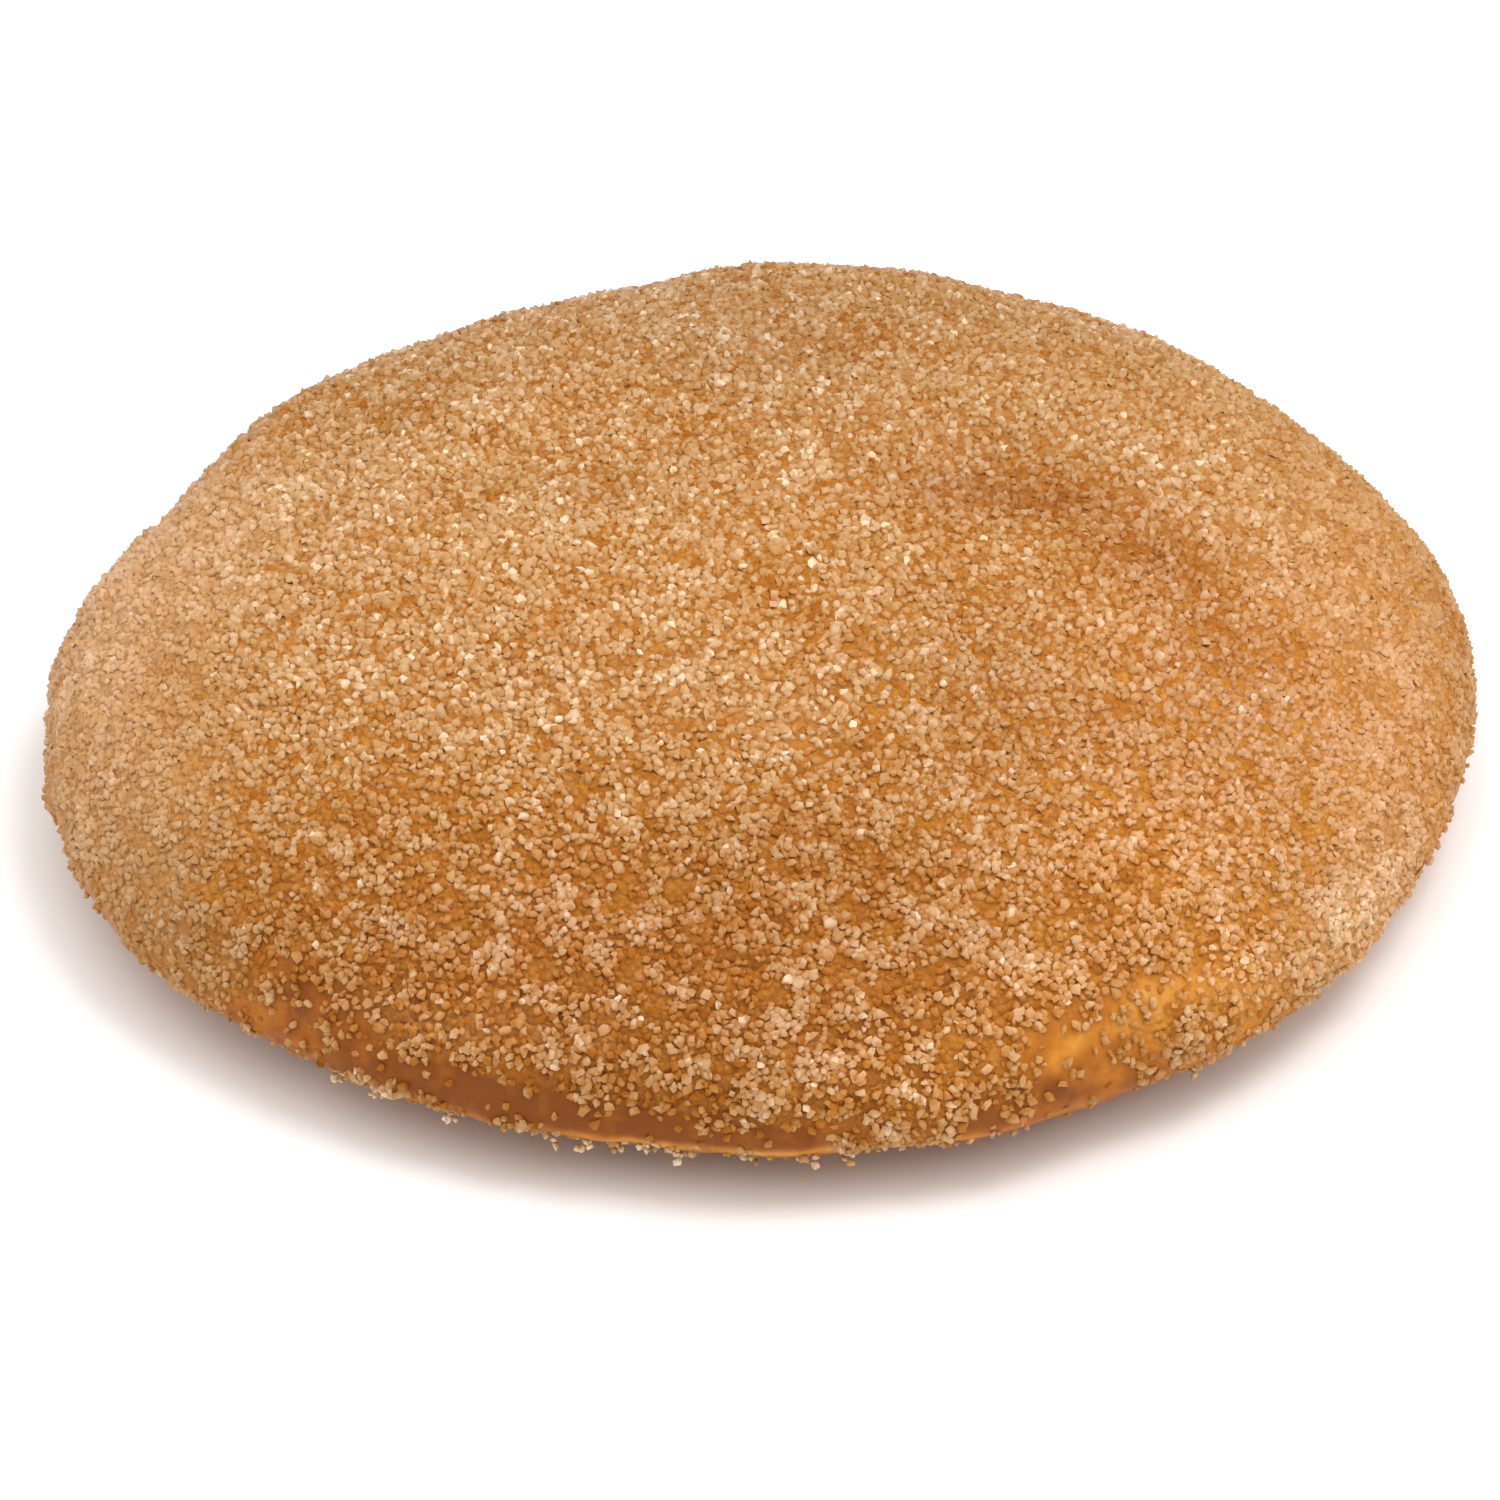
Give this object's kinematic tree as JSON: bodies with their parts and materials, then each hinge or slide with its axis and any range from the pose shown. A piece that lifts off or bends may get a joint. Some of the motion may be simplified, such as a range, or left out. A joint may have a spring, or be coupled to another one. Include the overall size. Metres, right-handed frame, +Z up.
{
  "type": "apple fritter",
  "caption": "Round, low-domed fried apple pastry with a soft uneven crown, a blunt rim and a coat of coarse sugar, resting on its flattened underside.",
  "frame": {"origin": "middle of the outline seen from above, on the table under the flattened underside", "axes": "+Z up from the underside to the crown, +X along the widest side to side line, the broad front towards -Y"},
  "size_m": [0.111, 0.1054, 0.029],
  "materials": {
    "sugared_crust": "golden brown fried crust under pale translucent sugar grains"
  },
  "bodies": {
    "root": {"fritter": "sugared_crust"}
  },
  "joints": []
}
